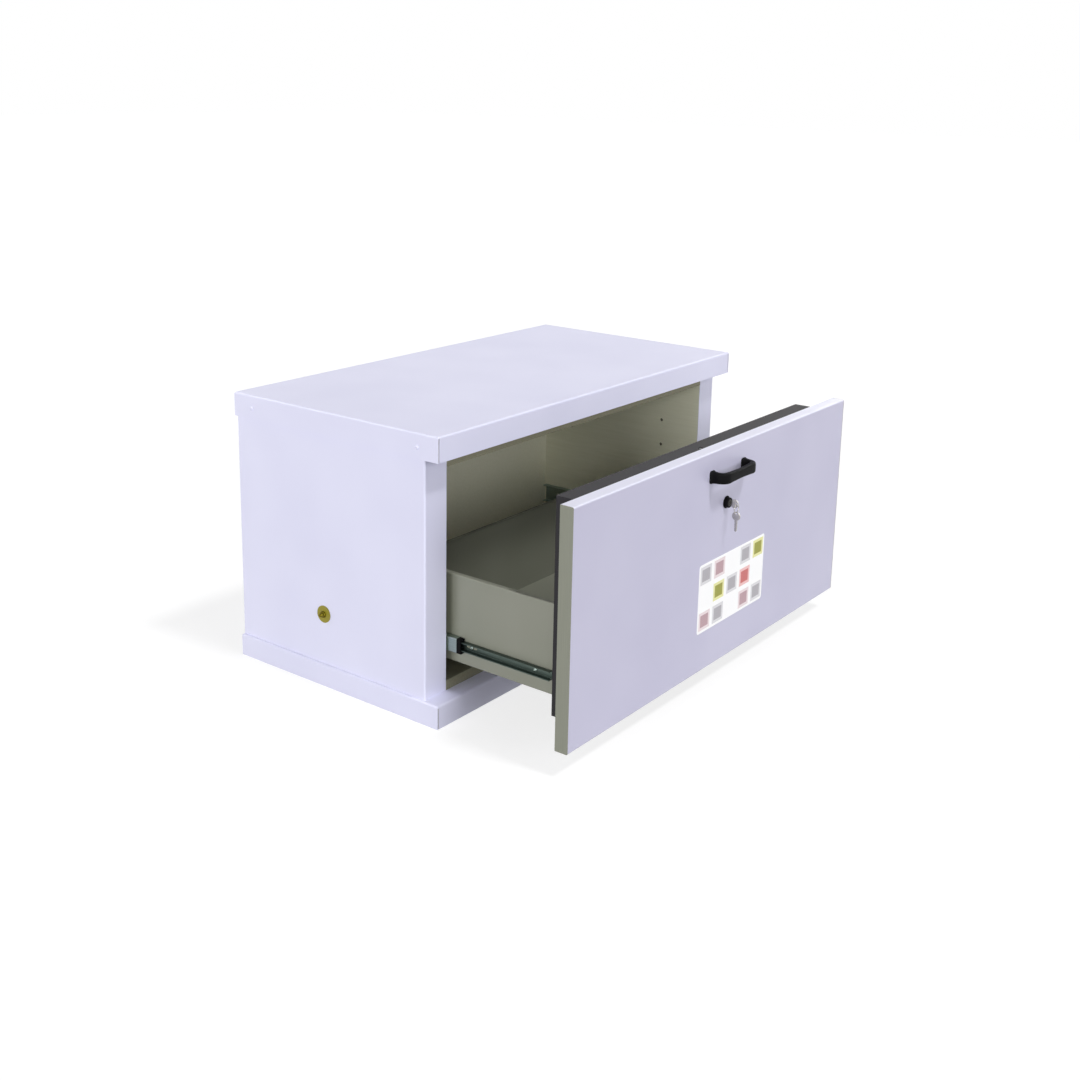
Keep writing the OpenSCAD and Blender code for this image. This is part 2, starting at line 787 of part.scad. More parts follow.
// Gasket frame on the backing, round the plug, with a rounded face
module smoke_gasket() color([0.05, 0.05, 0.05]) drawn_out(drawer_out) {
    x0 = plug_w2 + gasket_gap;
    z0 = plug_z - gasket_gap;
    z1 = plug_top + gasket_gap;
    both_sides() translate([x0, front_back, z0 - gasket_w])
        linear_extrude(height = z1 - z0 + 2 * gasket_w) gasket_outline();
    for (z = [z0 - gasket_w, z1])
        translate([-x0, 0, z]) rotate([90, 0, 90]) linear_extrude(height = 2 * x0)
            translate([front_back, 0]) mirror([1, -1]) gasket_outline();
}

module gasket_outline() {
    square([gasket_w, gasket_t - gasket_bulb]);
    translate([0, gasket_t - gasket_bulb]) intersection() {
        translate([gasket_w / 2, 0]) circle(r = gasket_w / 2);
        square([gasket_w, gasket_bulb]);
    }
}

// Tray

// Floor and sides folded from one sheet, with rims turned in at the top
module drawer_tray() color([0.66, 0.65, 0.60]) drawn_out(drawer_out) difference() {
    along_y(plug_back, tray_l) {
        difference() {
            round_rect(-tray_w2, tray_z, tray_w2, tray_top, tray_bend);
            round_rect(tray_sheet - tray_w2, tray_z + tray_sheet, tray_w2 - tray_sheet, tray_top - tray_sheet,
                       tray_bend - tray_sheet);
            translate([tray_rim - tray_w2, tray_z + tray_h / 2]) square([2 * (tray_w2 - tray_rim), tray_h]);
        }
        for (s = [-1, 1])
            translate([s * (tray_w2 - tray_rim - tray_sheet / 2) - tray_sheet / 2, tray_top - rim_drop])
                square([tray_sheet, rim_drop]);
    }
    both_sides() tray_screw_places() rod_x(0, 0, runner_screw_r + screw_play, -2 * tray_sheet, cut);
}

// End wall of the tray, standing inside the folded sheet
module tray_end() {
    inset = tray_sheet + wall_join;
    rim = tray_rim + tray_sheet + wall_join;
    along_y(0, tray_sheet) {
        translate([inset - tray_w2, tray_z + tray_bend]) square([2 * (tray_w2 - inset), tray_h - 2 * rim_drop]);
        translate([rim - tray_w2, tray_z + tray_bend]) square([2 * (tray_w2 - rim), tray_h - tray_bend]);
    }
    foot = tray_z + tray_sheet + wall_join;
    block([tray_bend + tray_sheet - tray_w2, 0, foot],
          [tray_w2 - tray_bend - tray_sheet, tray_sheet, tray_z + tray_bend + cut]);
    block([rim - tray_w2, 0, tray_top - tray_sheet], [tray_w2 - rim, tray_rim, tray_top]);
}

module tray_back() color([0.66, 0.65, 0.60]) drawn_out(drawer_out)
    translate([0, plug_back + tray_l, 0]) mirror([0, 1, 0]) tray_end();

module tray_front() color([0.66, 0.65, 0.60]) drawn_out(drawer_out) translate([0, plug_back, 0]) tray_end();

// Handle

// Bridge in plan with rounded corners, and feet that spread on the panel
module handle() color([0.07, 0.07, 0.07]) drawn_out(drawer_out) translate([0, front_y, handle_z]) difference() {
    union() {
        intersection() {
            translate([0, 0, -handle_h / 2]) linear_extrude(height = handle_h) handle_outline();
            along_x(-handle_span, 2 * handle_span)
                round_rect(-handle_out, -handle_h / 2, 3 * handle_edge, handle_h / 2, handle_edge);
        }
        for (s = [-1, 1]) along_y(-foot_t, foot_t)
            round_rect(s * handle_span / 2 - foot_w / 2, -handle_h / 2 - foot_over,
                       s * handle_span / 2 + foot_w / 2, handle_h / 2 + foot_over, foot_r);
    }
    for (s = [-1, 1])
        rod_y(s * handle_span / 2, 0, handle_screw_r + screw_play, -handle_screw_in - head_room, cut);
}

module handle_outline() {
    x1 = (handle_span + handle_leg) / 2;
    x0 = (handle_span - handle_leg) / 2;
    intersection() {
        difference() {
            round_rect(-x1, -handle_out, x1, 2 * handle_corner, handle_corner);
            round_rect(-x0, handle_grip - handle_out, x0, 3 * handle_corner, handle_inner_r);
        }
        translate([-x1, -handle_out]) square([2 * x1, handle_out]);
    }
}

module handle_screws() color([0.70, 0.70, 0.71]) drawn_out(drawer_out) for (s = [-1, 1]) {
    rod_y(s * handle_span / 2, handle_z, handle_screw_r, front_y - handle_screw_in, front_back);
    rod_y(s * handle_span / 2, handle_z, handle_screw_head_r, front_back, front_back + handle_screw_head_h);
}

// Lock

// Barrel through the panel with a rosette and a raised collar in front
module lock_housing() color([0.06, 0.06, 0.06]) drawn_out(drawer_out)
    translate([0, front_y, lock_z]) rotate([-90, 0, 0]) rotate_extrude() difference() {
        union() {
            translate([0, -rosette_t]) square([barrel_r, rosette_t + front_t + barrel_in]);
            translate([0, -rosette_t]) square([rosette_r - lock_edge, rosette_t]);
            square_ring_edge();
            translate([0, lock_edge - nose_l]) square([nose_r, nose_l - lock_edge]);
            translate([0, -nose_l]) square([nose_r - lock_edge, nose_l]);
            translate([nose_r - lock_edge, lock_edge - nose_l]) circle(r = lock_edge);
        }
        translate([0, -nose_l - cut]) square([cylinder_r + turn_play, nose_l + front_t + barrel_in + 2 * cut]);
    }

// Rounded outer edge of the rosette
module square_ring_edge() {
    translate([rosette_r - lock_edge, -rosette_t / 2]) circle(r = lock_edge);
}

module lock_nut() color([0.70, 0.70, 0.71]) drawn_out(drawer_out)
    translate([0, front_back, lock_z]) rotate([-90, 0, 0]) difference() {
        cylinder(r = lock_nut_r, h = lock_nut_t, $fn = 6);
        translate([0, 0, -cut]) cylinder(r = barrel_r + screw_play, h = lock_nut_t + 2 * cut);
    }

// Turning cylinder with a keyway, and a spindle at the back for the pinion
module lock_cylinder() color([0.72, 0.71, 0.68]) drawn_out(drawer_out) translate([0, front_y, lock_z]) difference() {
    union() {
        rod_y(0, 0, cylinder_r, -nose_l, front_t + barrel_in + pinion_gap);
        rod_y(0, 0, cylinder_r / 2, -nose_l, front_t + barrel_in + pinion_gap + pinion_w);
    }
    block([-key_t / 2 - keyway_play, -nose_l - cut, -blade_h / 2 - keyway_play],
          [key_t / 2 + keyway_play, blade_l - nose_l + cut, blade_h / 2 + keyway_play]);
}

// Point of an involute at a given roll angle
function involute(base, roll) = base * [cos(roll) + roll * PI / 180 * sin(roll),
                                        sin(roll) - roll * PI / 180 * cos(roll)];
function turned(p, a) = [p[0] * cos(a) - p[1] * sin(a), p[0] * sin(a) + p[1] * cos(a)];
// Roll angle where an involute reaches a radius
function roll_at(base, r) = r <= base ? 0 : sqrt(pow(r / base, 2) - 1) * 180 / PI;

// One tooth of the pinion, pointing along +X, thinned by the tooth_play
module pinion_tooth() {
    base = pinion_r * cos(pressure);
    root = pinion_r - dedendum;
    tip = pinion_r + addendum;
    half = 90 / pinion_teeth - tooth_play / 2 / pinion_r * 180 / PI;
    at_pitch = involute(base, roll_at(base, pinion_r));
    lean = half + atan2(at_pitch[1], at_pitch[0]);
    flank = [for (i = [0:flank_steps]) involute(base, roll_at(base, tip) * i / flank_steps)];
    upper = [for (p = flank) turned([p[0], -p[1]], lean)];
    lower = [for (i = [flank_steps:-1:0]) turned(flank[i], -lean)];
    polygon(concat([turned([root - cut, 0], lean)], upper, lower, [turned([root - cut, 0], -lean)]));
}

module lock_pinion() color([0.66, 0.62, 0.50]) drawn_out(drawer_out) translate([0, pinion_y + pinion_w, lock_z])
    rotate([90, 0, 0]) difference() {
        union() {
            cylinder(r = pinion_r - dedendum, h = pinion_w);
            for (i = [0:pinion_teeth - 1])
                rotate(i * 360 / pinion_teeth) linear_extrude(height = pinion_w) pinion_tooth();
        }
        translate([0, 0, -cut]) cylinder(r = cylinder_r / 2 + turn_play, h = pinion_w + 2 * cut);
    }

// Bar beside the pinion, with a rack cut along its lower end
module lock_bar() color([0.68, 0.69, 0.70]) drawn_out(drawer_out) along_y(pinion_y, pinion_w) {
    translate([bar_x0, bar_low]) square([bar_w, bar_top - bar_low]);
    for (i = [0:rack_teeth - 1])
        translate([-pinion_r, bar_low + rack_pitch * (i + 1)]) rack_tooth();
}

module rack_tooth() {
    half = rack_pitch / 4 - tooth_play / 2;
    tip = half - addendum * tan(pressure);
    root = half + dedendum * tan(pressure);
    polygon([[-dedendum, -root], [addendum, -tip], [addendum, tip], [-dedendum, root]]);
}

// Blocks that keep the bar at the bottom of its slot
module bar_guides() color([0.30, 0.30, 0.31]) drawn_out(drawer_out) for (z = guide_z)
    block([slot_x0, front_back, z], [bar_x1 + bar_gap, pinion_y - bar_gap, z + guide_h]);

// Keys

// Key lying in Y and Z with its shoulder at y = 0 and its blade towards +Y
module key_outline() {
    difference() {
        union() {
            translate([-shoulder - bow_r, 0]) circle(r = bow_r);
            translate([-shoulder - bow_r, -blade_h / 2]) square([shoulder + bow_r, blade_h]);
            polygon([[0, -blade_h / 2], [blade_l - blade_tip, -blade_h / 2], [blade_l, 0],
                     [blade_l - blade_tip, blade_h / 2], [0, blade_h / 2]]);
        }
        translate([-shoulder - bow_r - bow_hole_off, 0]) circle(r = bow_hole_r);
        for (i = [1:bit_count])
            translate([i * bit_pitch, blade_h / 2]) rotate(45)
                square(bit_d + (i % 2) * bit_step, center = true);
    }
}

module key_blank() {
    along_x(-key_t / 2, key_t) key_outline();
}

module lock_key() color([0.78, 0.78, 0.77]) drawn_out(drawer_out)
    translate([0, front_y - nose_l, lock_z]) key_blank();

// Ring through the key's bow, hanging down
module key_ring() color([0.78, 0.78, 0.79]) drawn_out(drawer_out) translate([0, key_hole_y, ring_z])
    rotate([90, 0, 0]) rotate_extrude() translate([ring_r, 0]) circle(r = wire_r);

// Second key hanging on the ring with its blade down
module spare_key() color([0.78, 0.78, 0.77]) drawn_out(drawer_out) translate([0, key_hole_y, spare_z])
    rotate([-90, 0, 0]) translate([0, shoulder + bow_r + bow_hole_off, 0]) key_blank();

top_cover();
top_core();
cover_sheet();
base_cover();
base_core();
base_sheet();
left_side_skin();
right_side_skin();
left_side_core();
right_side_core();
left_liner();
right_liner();
back_skin();
back_core();
back_liner();
ceiling_board();
floor_board();
cover_screws();
earth_disc();
earth_stud();
exhaust_collar();
supply_collar();
exhaust_flap();
supply_flap();
strike_plate();
left_runner_outer();
right_runner_outer();
runner_wall_screws();
left_runner_middle();
right_runner_middle();
left_runner_stop();
right_runner_stop();
outer_ball_cages();
inner_ball_cages();
left_runner_inner();
right_runner_inner();
runner_tray_screws();
front_skin();
front_core();
edge_bands();
front_backing();
fire_plug();
smoke_gasket();
drawer_tray();
tray_back();
tray_front();
handle();
handle_screws();
lock_housing();
lock_nut();
bar_guides();
lock_cylinder();
lock_pinion();
lock_key();
lock_bar();
key_ring();
spare_key();
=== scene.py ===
import math

import bmesh
import bpy
from mathutils import Matrix, Vector


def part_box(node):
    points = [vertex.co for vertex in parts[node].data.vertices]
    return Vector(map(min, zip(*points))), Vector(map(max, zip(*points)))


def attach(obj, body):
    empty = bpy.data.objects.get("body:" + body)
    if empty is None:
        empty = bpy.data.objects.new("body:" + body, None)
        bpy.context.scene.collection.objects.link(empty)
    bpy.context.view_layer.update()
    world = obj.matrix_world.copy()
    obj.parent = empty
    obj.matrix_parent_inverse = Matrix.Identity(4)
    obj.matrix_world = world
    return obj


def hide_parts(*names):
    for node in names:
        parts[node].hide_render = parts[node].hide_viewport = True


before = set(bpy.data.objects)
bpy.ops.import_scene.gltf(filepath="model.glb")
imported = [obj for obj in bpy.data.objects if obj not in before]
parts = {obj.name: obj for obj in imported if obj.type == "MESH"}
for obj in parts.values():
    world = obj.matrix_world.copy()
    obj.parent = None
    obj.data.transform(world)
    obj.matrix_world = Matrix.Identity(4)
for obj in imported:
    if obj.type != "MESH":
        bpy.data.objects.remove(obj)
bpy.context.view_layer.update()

# Cores of the walls, the cover, the base and the drawer front: calcium silicate fire
# boards, pressed, sanded and glued inside the folded sheet skins. Only their edges
# can be seen, deep in the gaps between the skins.


def linear(hex_colour):
    """An sRGB hex colour in the linear light that the shaders want."""
    shares = [int(hex_colour[i:i + 2], 16) / 255 for i in (1, 3, 5)]
    return [s / 12.92 if s <= 0.04045 else ((s + 0.055) / 1.055) ** 2.4 for s in shares] + [1.0]


def add(tree, kind, links, **settings):
    """Adds a shader node with its settings, its values and its links from other sockets."""
    made = tree.nodes.new("ShaderNode" + kind)
    for name, value in settings.items():
        setattr(made, name, value)
    for socket, value in links.items():
        if isinstance(value, bpy.types.NodeSocket):
            tree.links.new(value, made.inputs[socket])
        else:
            made.inputs[socket].default_value = value
    return made


def new_finish(name, **values):
    """A new material: its node tree, its surface shader and the piece's own coordinates."""
    finish = bpy.data.materials.new(name)
    finish.use_nodes = True
    tree = finish.node_tree
    surface = tree.nodes["Principled BSDF"]
    for socket, value in values.items():
        surface.inputs[socket.replace("_", " ").title().replace("Ior", "IOR")].default_value = value
    return finish, tree, surface, add(tree, "TexCoord", {}).outputs["Object"]


def two_tone(tree, factor, spread, deep, pale):
    """A colour that runs from a deep to a pale tone over a spread of its factor."""
    shade = add(tree, "ValToRGB", {"Fac": factor})
    for stop, position, colour in zip(shade.color_ramp.elements, spread, (deep, pale)):
        stop.position = position
        stop.color = linear(colour)
    return shade.outputs["Color"]


def lay_on(tree, surface, tone, rough, bump):
    """Lets a tone, a roughness and a relief reach the surface of a finish."""
    tree.links.new(tone, surface.inputs["Base Color"])
    tree.links.new(rough.outputs["Result"], surface.inputs["Roughness"])
    tree.links.new(bump.outputs["Normal"], surface.inputs["Normal"])


def mottled(name, deep, pale, grain, gloss, relief=0.0, **values):
    """A finish whose tone, roughness and relief follow one cloudy grain, sized along x, y and z."""
    finish, tree, surface, place = new_finish(name, **values)
    sized = add(tree, "Mapping", {"Vector": place, "Scale": [1 / size for size in grain]})
    cloud = add(tree, "TexNoise", {"Vector": sized.outputs["Vector"], "Scale": 1.0, "Detail": 3.0})
    tone = two_tone(tree, cloud.outputs["Fac"], (0.25, 0.75), deep, pale)
    rough = add(tree, "MapRange", {"Value": cloud.outputs["Fac"], "To Min": gloss[0], "To Max": gloss[1]})
    bump = add(tree, "Bump", {"Height": cloud.outputs["Fac"], "Distance": relief, "Strength": 0.5})
    lay_on(tree, surface, tone, rough, bump)
    return finish


def dress(finish, *names):
    """Gives CAD pieces their finish."""
    for name in names:
        parts[name].data.materials.clear()
        parts[name].data.materials.append(finish)


# Sanded fire board: matt, warm grey, with pale fibre flecks about 3 mm long
board = mottled("sanded_calcium_silicate_board", "#8E8877", "#A39D8B", (0.003, 0.003, 0.003),
                (0.85, 0.95), 0.0002)
dress(board, "top_core", "base_core", "left_side_core", "right_side_core", "back_core", "front_core")

# Skins of the cover, the base, the side walls and the back: 1.2 mm steel sheet, cut,
# folded at 4 mm radius and powder coated before it is glued round the boards. Closing
# sheets shut the cover and the base from below.


def powder_coat(name, deep, pale, peel_size, gloss):
    """A coat with an orange peel, on a sheet that waves a little over every 180 mm."""
    wave_size = 0.18
    finish, tree, surface, place = new_finish(name, ior=1.5)
    peel = add(tree, "TexNoise", {"Vector": place, "Scale": 1 / peel_size, "Detail": 2.0})
    wave = add(tree, "TexNoise", {"Vector": place, "Scale": 1 / wave_size, "Detail": 1.0})
    tone = two_tone(tree, wave.outputs["Fac"], (0.3, 0.7), deep, pale)
    rough = add(tree, "MapRange", {"Value": peel.outputs["Fac"], "To Min": gloss[0], "To Max": gloss[1]})
    flat = add(tree, "Bump", {"Height": wave.outputs["Fac"], "Distance": 0.0006, "Strength": 0.4})
    bump = add(tree, "Bump", {"Height": peel.outputs["Fac"], "Normal": flat.outputs["Normal"],
                              "Distance": 0.00008, "Strength": 0.5})
    lay_on(tree, surface, tone, rough, bump)
    return finish


# Powder coat: cool white and satin. Its orange peel of about 1 mm is drawn 2.5 mm wide so
# that it shows.
coat = powder_coat("white_powder_coat", "#D9D9EF", "#DEDEF3", 0.0025, (0.38, 0.5))
dress(coat, "top_cover", "cover_sheet", "base_cover", "base_sheet", "left_side_skin", "right_side_skin",
      "back_skin")

# Linings of the drawer's room: satin coated sheet on the side and back walls, and sealed
# fire boards for its ceiling and its floor.

# Satin lining: warm grey-cream, with the faint roller marks of a coil coat, 6 mm apart
lining = mottled("satin_coil_coated_lining", "#E4E3CC", "#ECEBD6", (0.006, 0.12, 0.006), (0.42, 0.58),
                 0.00005, ior=1.48)
dress(lining, "left_liner", "right_liner", "back_liner")

# Sealed board: dull olive grey, drawn darker than the lining as painted shade at the ceiling's and floor's
# edges, with the board's 4 mm fibres under a thin sealer
sealed = mottled("sealed_fire_board_painted_shade", "#7C7A66", "#8B8974", (0.004, 0.004, 0.004), (0.6, 0.75),
                 0.0002, ior=1.48)
dress(sealed, "ceiling_board", "floor_board")

# Air collars through the back wall and the flaps that turn in them: galvanised sheet,
# rolled and seamed.

# Galvanised sheet: dull grey metal with zinc spangles about 9 mm across
spangle_size = 0.009
galvanised, tree, surface, place = new_finish("galvanised_sheet", metallic=1.0)
spangle = add(tree, "TexVoronoi", {"Vector": place, "Scale": 1 / spangle_size}, feature="F1")
facing = add(tree, "RGBToBW", {"Color": spangle.outputs["Color"]})
tone = two_tone(tree, facing.outputs["Val"], (0.0, 1.0), "#8E9193", "#B9BDBF")
rough = add(tree, "MapRange", {"Value": facing.outputs["Val"], "To Min": 0.34, "To Max": 0.55})
bump = add(tree, "Bump", {"Height": spangle.outputs["Distance"], "Distance": 0.0002, "Strength": 0.2})
lay_on(tree, surface, tone, rough, bump)
dress(galvanised, "exhaust_collar", "supply_collar", "exhaust_flap", "supply_flap")

# Cross-recess screws that hold the cover to the side walls: pan heads 9.2 mm across and
# 2.6 mm high, cold headed from wire, driven in from the two ends and coated with the cover.


def pick(piece, kind, test):
    """Selects those faces, edges or points of a piece in edit mode whose middle passes a test."""
    bpy.ops.mesh.select_mode(type=kind)
    bpy.ops.mesh.select_all(action="DESELECT")
    mesh = bmesh.from_edit_mesh(piece.data)
    for item in {"FACE": mesh.faces, "EDGE": mesh.edges, "VERT": mesh.verts}[kind]:
        corners = [item] if kind == "VERT" else item.verts
        if test(sum((corner.co for corner in corners), Vector()) / len(corners)):
            item.select_set(True)
    bmesh.update_edit_mesh(piece.data)


def begin():
    """Leaves nothing selected, and any edit closed, before a new piece is started."""
    if bpy.context.object and bpy.context.object.mode == "EDIT":
        bpy.ops.object.mode_set(mode="OBJECT")
    bpy.ops.object.select_all(action="DESELECT")


def close_up(smooth=35):
    """Ends the edit of a piece: merges it, shuts open ends, turns its faces outwards and smooths them."""
    bpy.ops.mesh.select_all(action="SELECT")
    bpy.ops.mesh.remove_doubles(threshold=1e-6)
    bpy.ops.mesh.fill_holes(sides=0)
    bpy.ops.mesh.normals_make_consistent(inside=False)
    bpy.ops.object.mode_set(mode="OBJECT")
    bpy.ops.object.shade_smooth_by_angle(angle=math.radians(smooth))


def settle(piece, name, body, slot, finish, *stands_for):
    """Names a finished piece, gives it its finish and lets it ride on its body."""
    piece.name = name
    piece.data.materials.clear()
    piece.data.materials.append(finish)
    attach(piece, body)
    if stands_for:
        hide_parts(*stands_for)


def carve(piece, tool, operation):
    """Cuts a piece by a tool, or leaves only what lies in both. The tool goes away."""
    cut = piece.modifiers.new("carve", "BOOLEAN")
    cut.operation = operation
    cut.object = tool
    bpy.context.view_layer.objects.active = piece
    bpy.ops.object.modifier_apply(modifier="carve")
    bpy.data.objects.remove(tool)


def pan_screw(head_r, head_h, shank_r, shank_l):
    """A pan-head screw that stands on z = 0 with its shank below, and a cross recess on top."""
    slot_w, arm, recess_d = 0.26 * head_r, 0.42 * head_r, 0.35 * head_h
    point_l = 0.15 * shank_l
    begin()
    bpy.ops.mesh.primitive_circle_add(vertices=36, radius=head_r, fill_type="NGON")
    screw = bpy.context.object
    bpy.ops.object.mode_set(mode="EDIT")
    bpy.ops.mesh.select_all(action="SELECT")
    width = 1.0
    for rise, wider in ((0.4, 0.98), (0.3, 0.92), (0.2, 0.78), (0.1, 0.5)):
        bpy.ops.mesh.extrude_region_move(TRANSFORM_OT_translate={"value": (0, 0, rise * head_h)})
        bpy.ops.transform.resize(value=(wider / width, wider / width, 1))
        width = wider
    pick(screw, "FACE", lambda middle: middle.z < 1e-6)
    bpy.ops.mesh.inset(thickness=head_r - shank_r)
    bpy.ops.mesh.extrude_region_move(TRANSFORM_OT_translate={"value": (0, 0, point_l - shank_l)})
    bpy.ops.mesh.extrude_region_move(TRANSFORM_OT_translate={"value": (0, 0, -point_l)})
    bpy.ops.transform.resize(value=(0.3, 0.3, 1))
    close_up()
    begin()
    bpy.ops.mesh.primitive_cube_add(size=slot_w, location=(0, 0, head_h))
    cross = bpy.context.object
    bpy.ops.object.transform_apply(location=True)
    bpy.ops.object.mode_set(mode="EDIT")
    pick(cross, "FACE", lambda middle: abs(middle.z - head_h) < 1e-6)
    bpy.ops.mesh.extrude_faces_move(TRANSFORM_OT_shrink_fatten={"value": arm})
    pick(cross, "VERT", lambda middle: middle.z < head_h)
    bpy.ops.transform.translate(value=(0, 0, -recess_d))
    bpy.ops.transform.resize(value=(0.55, 0.55, 1), center_override=(0, 0, head_h))
    close_up()
    carve(screw, cross, "DIFFERENCE")
    begin()
    return screw


def screw_places(node, head_r, head_h, count, turn):
    """Places of a row of screws on both ends of a node's box, each turned as it was driven."""
    low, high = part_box(node)
    step = (high.y - low.y - 2 * head_r) / (count - 1)
    return [Matrix.Translation((end * (high.x - head_h), low.y + head_r + k * step, (low.z + high.z) / 2))
            @ Matrix.Rotation(math.radians(90 * end), 4, "Y")
            @ Matrix.Rotation(math.radians(turn(end, k)), 4, "Z")
            for end in (-1, 1) for k in range(count)]


def copies(model, places):
    """Copies of a model set at each place, every copy with its own mesh; the model goes away."""
    made = []
    for place in places:
        piece = bpy.data.objects.new("copy", model.data.copy())
        piece.data.transform(place)
        bpy.context.scene.collection.objects.link(piece)
        made.append(piece)
    bpy.data.objects.remove(model)
    return made


# Bright zinc plating: pale grey metal, with fine rubbed patches of about 1 mm
plated = mottled("bright_zinc_plating", "#A9ABAE", "#CDCED0", (0.001, 0.001, 0.001), (0.22, 0.4),
                 metallic=1.0)
dress(plated, "handle_screws", "lock_nut", "strike_plate", "lock_bar")

head_r, head_h, shank_r, shank_l = 0.0046, 0.0026, 0.002, 0.012
places = screw_places("cover_screws", head_r, head_h, 2, lambda end, k: 25 * end * (k + 1))
for i, piece in enumerate(copies(pan_screw(head_r, head_h, shank_r, shank_l), places)):
    settle(piece, f"cover_screw_{i + 1}", "carcass", "white_coat", coat, "cover_screws")

# Earthing point on the left wall: a printed yellow plastic disc under a yellow-chromated
# steel stud with its nut.

# Printed plastic: olive yellow, satin, with a fine speckle of about 1.5 mm
yellow = mottled("yellow_printed_plastic", "#7F7615", "#92881F", (0.0015, 0.0015, 0.0015), (0.4, 0.5),
                 ior=1.49)
dress(yellow, "earth_disc")

# Yellow chromate on steel: dark olive gold metal, uneven over about 4 mm
chromated = mottled("yellow_chromated_steel", "#554C14", "#7A6E22", (0.004, 0.004, 0.004), (0.3, 0.5),
                    metallic=1.0)

# The stud stands out of the wall with an M8 thread of 1.25 mm pitch, and the nut is
# hexagonal with its corners chamfered on both faces.
low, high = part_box("earth_stud")
stud_r, pitch, nut_r, nut_h, nut_chamfer, nut_land = 0.004, 0.00125, 0.0075, 0.004, 0.0011, 0.0004
root_r, round_r = stud_r - 0.6 * pitch, 0.985 * nut_r
disc_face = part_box("earth_disc")[0].x
middle = ((low.y + high.y) / 2, (low.z + high.z) / 2)
begin()
bpy.ops.mesh.primitive_cylinder_add(vertices=6, radius=nut_r, depth=nut_h)
nut = bpy.context.object
bpy.ops.object.mode_set(mode="EDIT")
pick(nut, "FACE", lambda spot: abs(spot.z) > 0.4 * nut_h)
bpy.ops.mesh.inset(thickness=nut_land)
close_up(20)
begin()
bpy.ops.mesh.primitive_cylinder_add(vertices=48, radius=round_r, depth=nut_h)
round_off = bpy.context.object
bpy.ops.object.mode_set(mode="EDIT")
pick(round_off, "EDGE", lambda spot: abs(spot.z) > 0.4 * nut_h)
bpy.ops.mesh.bevel(offset=nut_chamfer, segments=3, affect="EDGES")
close_up()
carve(nut, round_off, "INTERSECT")
nut.data.transform(Matrix.Translation((disc_face - nut_h / 2, *middle))
                   @ Matrix.Rotation(math.radians(-90), 4, "Y"))
settle(nut, "earth_nut", "carcass", "dark_steel", chromated, "earth_stud")


def wind_up(section, pitch, turns, steps):
    """Winds a section about the z axis, one pitch higher with each turn."""
    wind = section.modifiers.new("wind", "SCREW")
    wind.angle = 2 * math.pi
    wind.screw_offset = pitch
    wind.iterations = turns
    wind.steps = steps
    wind.render_steps = steps
    bpy.ops.object.modifier_apply(modifier="wind")


begin()
bpy.ops.mesh.primitive_circle_add(vertices=32, radius=root_r, fill_type="NGON")
stud = bpy.context.object
bpy.ops.object.mode_set(mode="EDIT")
bpy.ops.mesh.select_all(action="SELECT")
length = high.x - low.x
bpy.ops.mesh.extrude_region_move(TRANSFORM_OT_translate={"value": (0, 0, length - pitch)})
bpy.ops.mesh.extrude_region_move(TRANSFORM_OT_translate={"value": (0, 0, pitch)})
bpy.ops.transform.resize(value=(0.8, 0.8, 1))
close_up()
begin()
bpy.ops.mesh.primitive_circle_add(vertices=3, radius=pitch / 2, fill_type="NGON",
                                  location=(stud_r - pitch / 2, 0, pitch),
                                  rotation=(math.radians(90), 0, math.radians(180)))
thread = bpy.context.object
bpy.ops.object.transform_apply(location=True, rotation=True)
turns = int(0.5 * length / pitch)
wind_up(thread, pitch, turns, 28)
thread.data.transform(Matrix.Translation((0, 0, length - (turns + 2) * pitch)))
bpy.ops.object.mode_set(mode="EDIT")
close_up()
stud.select_set(True)
bpy.context.view_layer.objects.active = stud
bpy.ops.object.join()
stud.data.transform(Matrix.Translation((high.x, *middle)) @ Matrix.Rotation(math.radians(-90), 4, "Y"))
settle(stud, "earth_thread", "carcass", "dark_steel", chromated, "earth_stud")

# Telescopic ball runners: three nested members roll-formed from 1.8 mm steel strip,
# passivated, with steel balls in pressed cages between them.

# Passivated zinc: greenish grey metal with rolling streaks 1.2 mm wide along the strip. The
# inner members are drawn darker as painted shade in their recessed channels.
streaks = (0.0012, 0.07, 0.0012)
zinc = mottled("passivated_zinc_strip", "#8B9993", "#B0BDB7", streaks, (0.28, 0.45), metallic=1.0)
# Painted shade: the inner members' darker zinc
zinc_painted_shade = mottled("zinc_strip_painted_shade", "#3F4A45", "#626F69", streaks, (0.3, 0.5), metallic=1.0)
dress(zinc, "left_runner_outer", "right_runner_outer", "left_runner_middle", "right_runner_middle",
      "outer_ball_cages", "inner_ball_cages")
dress(zinc_painted_shade, "left_runner_inner", "right_runner_inner")

# Black moulded plastic: satin and deep, with a spark-eroded grain of 0.5 mm that is drawn
# 1 mm wide so that it shows
plastic = mottled("black_moulded_polyamide", "#09090A", "#101011", (0.001, 0.001, 0.001), (0.42, 0.55),
                  0.00008, specular_ior_level=0.06)
dress(plastic, "left_runner_stop", "right_runner_stop", "lock_housing", "bar_guides")

# Screws of the inner members: pan heads 7.6 mm across, three on each side, driven from the
# wall's side into the tray. The wall screws are countersunk flush in the outer members.
dress(plated, "runner_wall_screws")
head_r, head_h, shank_r, shank_l = 0.0038, 0.0016, 0.0021, 0.003
places = screw_places("runner_tray_screws", head_r, head_h, 3, lambda end, k: 30 + 40 * k)
for i, piece in enumerate(copies(pan_screw(head_r, head_h, shank_r, shank_l), places)):
    settle(piece, f"runner_tray_screw_{i + 1}", "drawer", "steel", zinc, "runner_tray_screws")

# Drawer tray: 1.2 mm sheet folded into a trough with rims and closed by two end sheets,
# spot welded and powder coated in a warm grey.

# Satin tray coat: warm grey, with a finer peel of 2 mm
tray_coat = powder_coat("warm_grey_powder_coat", "#828477", "#8A8B7F", 0.002, (0.4, 0.52))
dress(tray_coat, "drawer_tray", "tray_back", "tray_front")
